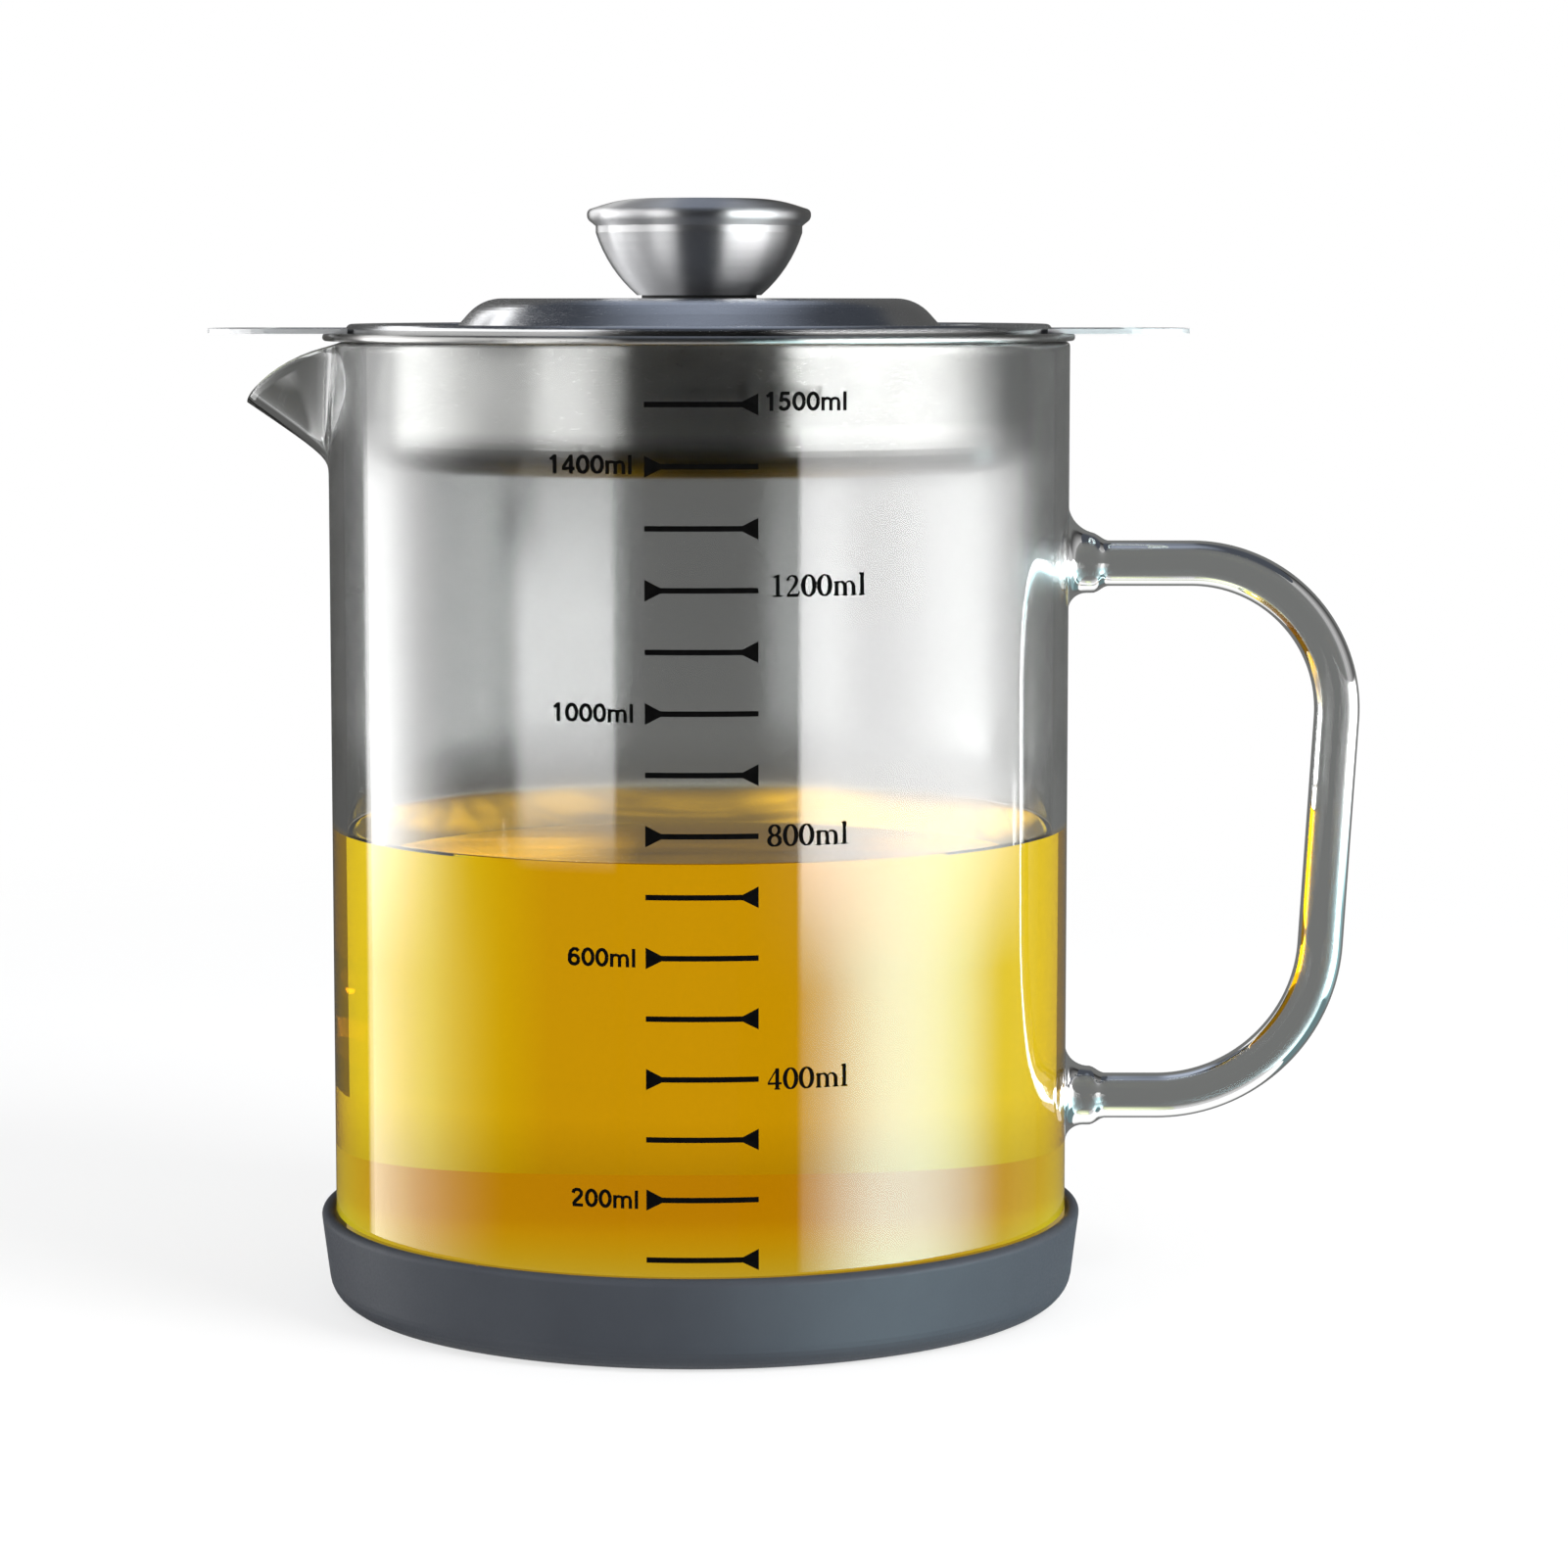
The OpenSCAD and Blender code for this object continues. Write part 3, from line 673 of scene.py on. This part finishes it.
# Faces inside the middle of the wall, and those that the oil touches, with a little to spare
inside = m.math("LESS_THAN", r, (JUG_R + BORE_R) / 2 * MM)
touching = m.math("LESS_THAN", r, (BORE_R + 0.2) * MM)
# Oil vapour leaves a film on the inside, which takes its mirror gloss off
FILM, FILM_FROM, FILM_FULL = 0.2, 0.080, 0.098
dry = m.times(inside, m.math("GREATER_THAN", z, OIL_Z * MM))
film = m.times(inside, m.ramp(z, FILM_FROM, FILM_FULL, 0.0, FILM))
m.principled(
    Roughness=m.math("ADD", m.feeds("Roughness"), film),
    Specular_Tint=m.tint(dry, (1.0, 1.0, 1.0), (0.0, 0.0, 0.0)),
)
# The silicone clings to the foot, so its faces don't bend light; their yellow-brown colour is painted shade
# of the base, which dims the light through them
HELD_SHADE_TINT = (0.64, 0.46, 0.14)
lip = m.math("LESS_THAN", z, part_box("silicone_base")[1][2])
under = m.math("LESS_THAN", z, (FLOOR_Z - 0.5) * MM)
held = m.times(lip, m.math("MAXIMUM", m.math("SUBTRACT", 1.0, inside), under))
m.principled(Base_Color=m.tint(held, CLEAR, HELD_SHADE_TINT))
# Oil has about the same index as the glass, so the wet faces don't bend light either
wet = m.times(touching, m.math("LESS_THAN", z, OIL_Z * MM))
m.principled(IOR=m.ramp(m.math("MAXIMUM", wet, held), 0.0, 1.0, GLASS_IOR, 1.0))
dress(m, "jug_glass")

m = Nodes("oil")
r, z = m.radius_height()
# Only the oil's top bends light: its side and floor lie in the glass
top = m.times(m.math("LESS_THAN", r, (BORE_R - 0.05) * MM), m.math("GREATER_THAN", z, (OIL_Z - 0.8) * MM))
swirl = m.noise(m.round_axis(0.02), scale=60.0)
m.principled(
    Base_Color=(1.0, 1.0, 1.0, 1.0),
    Roughness=0.0,
    IOR=m.ramp(top, 0.0, 1.0, 1.0, OIL_IOR),
    Transmission_Weight=1.0,
    Normal=m.bump(swirl, strength=0.1, distance=0.0003),
)
absorption = m.add("ShaderNodeVolumeAbsorption", {"Color": (0.938, 0.835, 0.0, 1.0), "Density": 60.0})
m.set(m.output.inputs["Volume"], absorption.outputs[0])
dress(m, "oil")

m = Nodes("scale_print")
worn = m.noise(m.place(), scale=900.0)
m.principled(
    Base_Color=m.tint(worn, (0.001, 0.001, 0.001), (0.005, 0.005, 0.005)),
    Roughness=m.ramp(worn, 0.3, 0.7, 0.6, 0.8),
    Specular_IOR_Level=0.0,
)
dress(m, "ml_scale")


# Studio: a pale floor, soft lamps, and panels that only glass and steel show: a softbox on each side,
# a wall behind, in front and round the table, a ceiling, a light table, and cards behind the handle,
# behind the spout and under the jug. A panel may show otherwise in a mirror than straight through glass.

# Strength of a panel where it doesn't shine, and of most that shows straight through glass
DARK, THROUGH = 0.03, 0.45
WHITE = (1.0, 1.0, 1.0, 1.0)
# Values of Facing between which a one-sided panel fades out, as light meets it more and more from aside
ASIDE = (0.3, 0.55)


def shining(m, colour, strength, one_sided=False):
    """Turns a material into plain light, which is clear from behind, aside and through oil if one-sided."""
    m.tree.nodes.remove(m.shader)
    light = m.add("ShaderNodeEmission", {"Color": colour, "Strength": strength}).outputs[0]
    if one_sided:
        back = m.add("ShaderNodeNewGeometry").outputs["Backfacing"]
        facing = m.add("ShaderNodeLayerWeight", {"Blend": 0.5}).outputs["Facing"]
        back = m.math("MAXIMUM", back, m.ramp(facing, *ASIDE, 0.0, 1.0))
        back = m.math("MAXIMUM", back, m.through_oil())
        clear = m.add("ShaderNodeBsdfTransparent").outputs[0]
        light = m.add("ShaderNodeMixShader", {0: back, 1: light, 2: clear}).outputs[0]
    m.set(m.output.inputs["Surface"], light)
    return m.material


def glow(name, colour, strength, one_sided=False):
    return shining(Nodes(name), (*colour, 1.0), strength, one_sided)


def two_way_glow(name, colour, mirrored, through):
    """Light of one strength in mirrors and another straight through glass."""
    m = Nodes(name)
    return shining(m, (*colour, 1.0), m.ramp(m.mirrored(), 0.0, 1.0, through, mirrored))


def softbox_glow(name, zones, strip=None, low_tint=None):
    """Light that changes with the angle from the camera's side, in degrees, and with the height.

    Each zone takes over from the one below it: the heights where it starts and is full, in millimetres,
    its peak, the angles over which it rises to that and falls again, and its sharp edge. A strip has the
    same but the edge, shines over the zones, and fades out at STRIP_FADE.
    """
    m = Nodes(name)
    x, y, z = m.axes()
    angle = m.times(m.math("ARCTAN2", m.math("ABSOLUTE", x), m.times(y, -1.0)), 180 / math.pi)

    def hump(rise, fall, foot, peak):
        up = m.ramp(angle, *rise, foot, peak, smooth=True)
        return m.times(up, m.ramp(angle, *fall, 1.0, foot, smooth=True))

    strength = DARK
    for low, full, peak, rise, fall, edge in zones:
        here = m.times(hump(rise, fall, DARK, peak), m.ramp(angle, edge - 1, edge + 1, DARK, 1.0))
        strength = m.mix(m.ramp(z, low * MM, full * MM, 0.0, 1.0), strength, here)
    if strip:
        low, full, peak, rise, fall = strip
        share = m.times(m.ramp(z, low * MM, full * MM, 0.0, 1.0), m.ramp(z, *STRIP_FADE, 1.0, 0.0))
        strength = m.math("MAXIMUM", strength, m.times(hump(rise, fall, 0.0, peak), share))
    colour = WHITE
    if low_tint:
        colour = m.tint(m.ramp(z, *LOW_TINT_FADE, 0.0, 1.0), low_tint, WHITE[:3])
    return shining(m, colour, m.mix(m.mirrored(), THROUGH, strength))


LEFT_ZONES = [
    (-401, -400, 6.0, (40, 54), (64, 78), 22),
    (-205, -170, 4.2, (56, 114), (117, 120), 22),
    (-10, 30, 7.5, (66, 105), (117, 120), 22),
    (115, 132, 2.1, (25, 36), (150, 170), 22),
]
LEFT_STRIP, STRIP_FADE = (20, 40, 7.2, (22, 24.5), (49, 56)), (0.085, 0.135)
RIGHT_ZONES = [
    (-401, -400, 7.5, (12, 24), (60, 82), 12),
    (-150, -115, 14.5, (22, 58), (60, 106), 29.5),
    (-10, 30, 16.0, (8, 40), (60, 126), 29.5),
    (115, 132, 0.6, (24, 42), (68, 124), 24),
]
LOW_TINT, LOW_TINT_FADE = (0.62, 0.95, 1.0), (-0.005, 0.025)

# The table lies low, so that light through the oil's side meets it far behind the jug and light through
# its top meets the card right under it. Its tints run by the angle from straight behind, in degrees.
TABLE_GREY, TABLE_FOCUS = (0.57, 0.57, 0.57), 0.085
TABLE_TINTS = [
    (0, (0.57, 0.565, 0.57)),
    (13, (0.55, 0.54, 0.57)),
    (31, (0.68, 0.905, 0.57)),
    (60, (0.83, 0.98, 0.57)),
    (90, (1.0, 1.0, 1.0)),
]
# Where the tints start to show, where the table turns brighter and where its front turns dark, in metres
TINTED_R, BRIGHTER_R, FRONT_Y = (0.24, 0.34), (0.38, 0.52), (-0.08, 0.06)


def table_glow(name):
    """Light from below: grey, but tinted far off through oil, and dark in front where it is mirrored."""
    m = Nodes(name)
    x, y, _ = m.axes()
    away = m.math("SUBTRACT", m.math("ABSOLUTE", y), TABLE_FOCUS)
    angle = m.math("ARCTAN2", m.math("ABSOLUTE", x), away)
    fan = m.add("ShaderNodeValToRGB", {0: m.ramp(angle, 0.0, math.pi / 2, 0.0, 1.0)})
    stops = fan.color_ramp.elements
    for degrees, _ in TABLE_TINTS[1:-1]:
        stops.new(degrees / 90)
    for stop, (_, colour) in zip(stops, TABLE_TINTS):
        stop.color = (*colour, 1.0)
    r = m.radius_height()[0]
    tinted = m.times(m.ramp(r, *TINTED_R, 0.0, 1.0), m.through_oil())
    mirrored = m.mirrored()
    colour = m.tint(mirrored, m.tint(tinted, TABLE_GREY, fan.outputs[0]), TABLE_GREY)
    through = m.ramp(r, *BRIGHTER_R, 1.05, 1.7)
    return shining(m, colour, m.mix(mirrored, through, m.ramp(y, *FRONT_Y, DARK, 1.0)))


# The card under the jug, in metres: its middle line, where it turns light beside that, where its middle
# dims and its left side is lighter, and where it fades to its edge
CARD_X, BESIDE, MIDDLE_Y, BESIDE_X = 0.007, (0.02, 0.036), (0.02, 0.07), (-0.05, 0.05)
CARD_SIDE, CARD_NEAR, CARD_FAR, EDGE_GLOW = (0.055, 0.085), (-0.06, -0.035), (0.1, 0.13), 0.6


def card_glow(name):
    """A light yellow-green with streaks, dimmer in its middle, and dim all along its edge."""
    m = Nodes(name)
    x, y, _ = m.axes()
    aside = m.math("ABSOLUTE", m.math("SUBTRACT", x, CARD_X))
    middle, beside = m.ramp(y, *MIDDLE_Y, 1.15, 0.5), m.ramp(x, *BESIDE_X, 2.9, 2.0)
    strength = m.mix(m.ramp(aside, *BESIDE, 0.0, 1.0), middle, beside)
    streaks = m.noise(m.stretched((0.25, 1.0, 1.0)), scale=60.0, detail=2.0)
    strength = m.times(strength, m.ramp(streaks, 0.35, 0.65, 0.6, 1.4))
    ends = m.math("MINIMUM", m.ramp(y, *CARD_NEAR, 0.0, 1.0), m.ramp(y, *CARD_FAR, 1.0, 0.0))
    share = m.math("MINIMUM", ends, m.ramp(aside, *CARD_SIDE, 1.0, 0.0))
    return shining(m, (0.9, 1.0, 0.6, 1.0), m.mix(share, EDGE_GLOW, strength))


# Where the ceiling is lighter: round the axis, and in a band behind the jug, in metres
OVER_R, BAND_X, BAND_Y = (0.06, 0.22), (0.07, 0.14), (0.1, 0.22)


def ceiling_glow(name):
    """A pale blue grey, lighter right over the jug and in a band behind it."""
    m = Nodes(name)
    x, y, _ = m.axes()
    above = m.ramp(m.radius_height()[0], *OVER_R, 0.48, 0.08)
    band = m.ramp(m.math("ABSOLUTE", x), *BAND_X, 1.0, 0.0)
    behind = m.times(m.ramp(y, *BAND_Y, 0.0, 0.5), band)
    return shining(m, (0.8, 0.9, 1.1, 1.0), m.math("ADD", above, behind))


def hang(piece, material, glossy=True, transmission=True):
    """Makes a piece a panel of the studio, which shows in mirrors and through glass only."""
    piece.data.materials.append(material)
    piece.visible_camera = False
    piece.visible_shadow = False
    piece.visible_diffuse = False
    piece.visible_glossy = glossy
    piece.visible_transmission = transmission


def curved_panel(name, start, end, r, low, high, material, **seen_by):
    """Part of an upright cylinder round the jug, between two angles from the camera's side towards +X."""
    verts = []
    for i in range(PANEL_STEPS + 1):
        t = math.radians(start + (end - start) * i / PANEL_STEPS)
        x, y = r * math.sin(t), -r * math.cos(t)
        verts += [(x, y, low), (x, y, high)]
    faces = [(2 * i, 2 * i + 1, 2 * i + 3, 2 * i + 2) for i in range(PANEL_STEPS)]
    hang(mesh_piece(name, verts, faces), material, **seen_by)


def flat_panel(name, corners, material, **seen_by):
    hang(mesh_piece(name, corners, [(0, 1, 2, 3)]), material, **seen_by)


def level_panel(name, left, right, near, far, z, material, **seen_by):
    corners = [(left, near, z), (right, near, z), (right, far, z), (left, far, z)]
    flat_panel(name, corners, material, **seen_by)


def upright_panel(name, left, right, y, low, high, material):
    corners = [(left, y, low), (right, y, low), (right, y, high), (left, y, high)]
    flat_panel(name, corners, material)


# Places of the panels, in millimetres and degrees. Below SPLIT, the softboxes and the wall behind show only
# in mirrors, and the wall round the table only straight through glass.
PANEL_R, PANEL_LOW, PANEL_TOP, PANEL_STEPS = 500, -400, 520, 32
SPLIT, TABLE_Z, TABLE_R = 20, -60, 1600
panels = [
    ("softbox_left", -150, -21, softbox_glow("softbox_left", LEFT_ZONES, strip=LEFT_STRIP)),
    ("softbox_right", 12, 125, softbox_glow("softbox_right", RIGHT_ZONES, low_tint=LOW_TINT)),
    ("wall_behind", 125, 210, glow("wall_behind", (0.98, 0.98, 0.96), 0.125)),
]
for name, start, end, material in panels:
    curved_panel(name, start, end, PANEL_R, SPLIT, PANEL_TOP, material)
    curved_panel(name + "_low", start, end, PANEL_R, PANEL_LOW, SPLIT, material, transmission=False)
grey = glow("wall_round_table", (1.0, 1.0, 1.0), THROUGH)
curved_panel("wall_round_table", -118, 125, PANEL_R, TABLE_Z, SPLIT, grey, glossy=False)
front = two_way_glow("wall_in_front", (1.0, 0.97, 0.93), DARK, THROUGH)
curved_panel("wall_in_front", -34, 40, 900, -700, 700, front)
level_panel("ceiling", -520, 520, -900, 520, PANEL_TOP, ceiling_glow("ceiling"))
card = glow("card_behind_handle", (0.98, 1.0, 0.98), 0.17, one_sided=True)
upright_panel("card_behind_handle", 62, 180, 14, -20, 200, card)
card = glow("card_behind_spout", (1.0, 1.0, 0.97), 0.1, one_sided=True)
upright_panel("card_behind_spout", -140, -61, 24, -50, 190, card)
table = table_glow("light_table")
level_panel("light_table", -TABLE_R, TABLE_R, -TABLE_R, TABLE_R, TABLE_Z, table, glossy=False)
level_panel("card_under_jug", -80, 94, -60, 130, TABLE_Z + 1, card_glow("card_under_jug"), glossy=False)

LAMP_TARGET, LAMP_SIZE = mathutils.Vector((0, 0, 0.06)), 0.7


def lamp(name, place, watts):
    data = bpy.data.lights.new(name, "AREA")
    data.shape = "DISK"
    data.size = LAMP_SIZE
    data.energy = watts
    light = bpy.data.objects.new(name, data)
    light.location = place
    light.rotation_euler = (mathutils.Vector(place) - LAMP_TARGET).to_track_quat("Z", "Y").to_euler()
    light.visible_glossy = False
    light.visible_transmission = False
    scene.collection.objects.link(light)


lamp("lamp_left", (-0.8, -0.8, 0.9), 3.5)
lamp("lamp_right", (0.9, -0.7, 0.9), 17.0)

# The floor is mostly white to the camera, keeps some of its shadow, and fades into the background
FLOOR_HALF, FLOOR_FADE, FLOOR_WHITE = 800, (0.3, 0.62), 0.7
m = Nodes("floor")
m.principled(
    Base_Color=m.tint(m.noise(m.place(), scale=9.0, detail=2.0), (0.9, 0.9, 0.9), (0.93, 0.93, 0.93)),
    Roughness=0.8,
    Specular_IOR_Level=0.1,
    Alpha=m.ramp(m.radius_height()[0], *FLOOR_FADE, 1.0, 0.0),
)
seen = m.add("ShaderNodeLightPath").outputs["Is Camera Ray"]
white = m.add("ShaderNodeEmission").outputs[0]
paper = m.add("ShaderNodeMixShader", {0: m.times(seen, FLOOR_WHITE), 1: m.shader.outputs[0], 2: white})
m.set(m.output.inputs["Surface"], paper.outputs[0])
corners = [(x * FLOOR_HALF, y * FLOOR_HALF, 0) for x, y in ((-1, -1), (1, -1), (1, 1), (-1, 1))]
floor = mesh_piece("floor", corners, [(0, 1, 2, 3)])
floor.data.materials.append(m.material)
floor.visible_glossy = False
floor.visible_transmission = False

# The world is white to the camera, in mirrors and through glass, and a plain soft fill to the rest
world = bpy.data.worlds.new("studio")
world.use_nodes = True
tree = world.node_tree
rays = tree.nodes.new("ShaderNodeLightPath")
seen = rays.outputs["Is Camera Ray"]
for kind in ("Is Glossy Ray", "Is Transmission Ray"):
    either = tree.nodes.new("ShaderNodeMath")
    either.operation = "MAXIMUM"
    tree.links.new(seen, either.inputs[0])
    tree.links.new(rays.outputs[kind], either.inputs[1])
    seen = either.outputs[0]
white, fill = tree.nodes["Background"], tree.nodes.new("ShaderNodeBackground")
for background, colour, strength in ((white, WHITE, 1.0), (fill, (0.97, 0.985, 1.0, 1.0), 0.75)):
    background.inputs["Color"].default_value = colour
    background.inputs["Strength"].default_value = strength
both = tree.nodes.new("ShaderNodeMixShader")
tree.links.new(seen, both.inputs[0])
tree.links.new(fill.outputs[0], both.inputs[1])
tree.links.new(white.outputs[0], both.inputs[2])
tree.links.new(both.outputs[0], tree.nodes["World Output"].inputs["Surface"])
scene.world = world

# The camera's lens in millimetres, its place in metres and how far it looks down, in degrees
LENS, SENSOR = 104.34, 36.0
CAMERA_PLACE, CAMERA_DOWN = (0.01373, -0.740, 0.1639), 6.154
camera = bpy.data.objects.new("camera", bpy.data.cameras.new("camera"))
camera.data.sensor_width = SENSOR
camera.data.lens = LENS
camera.location = CAMERA_PLACE
camera.rotation_euler = (math.radians(90 - CAMERA_DOWN), 0.0, 0.0)
scene.collection.objects.link(camera)
scene.camera = camera
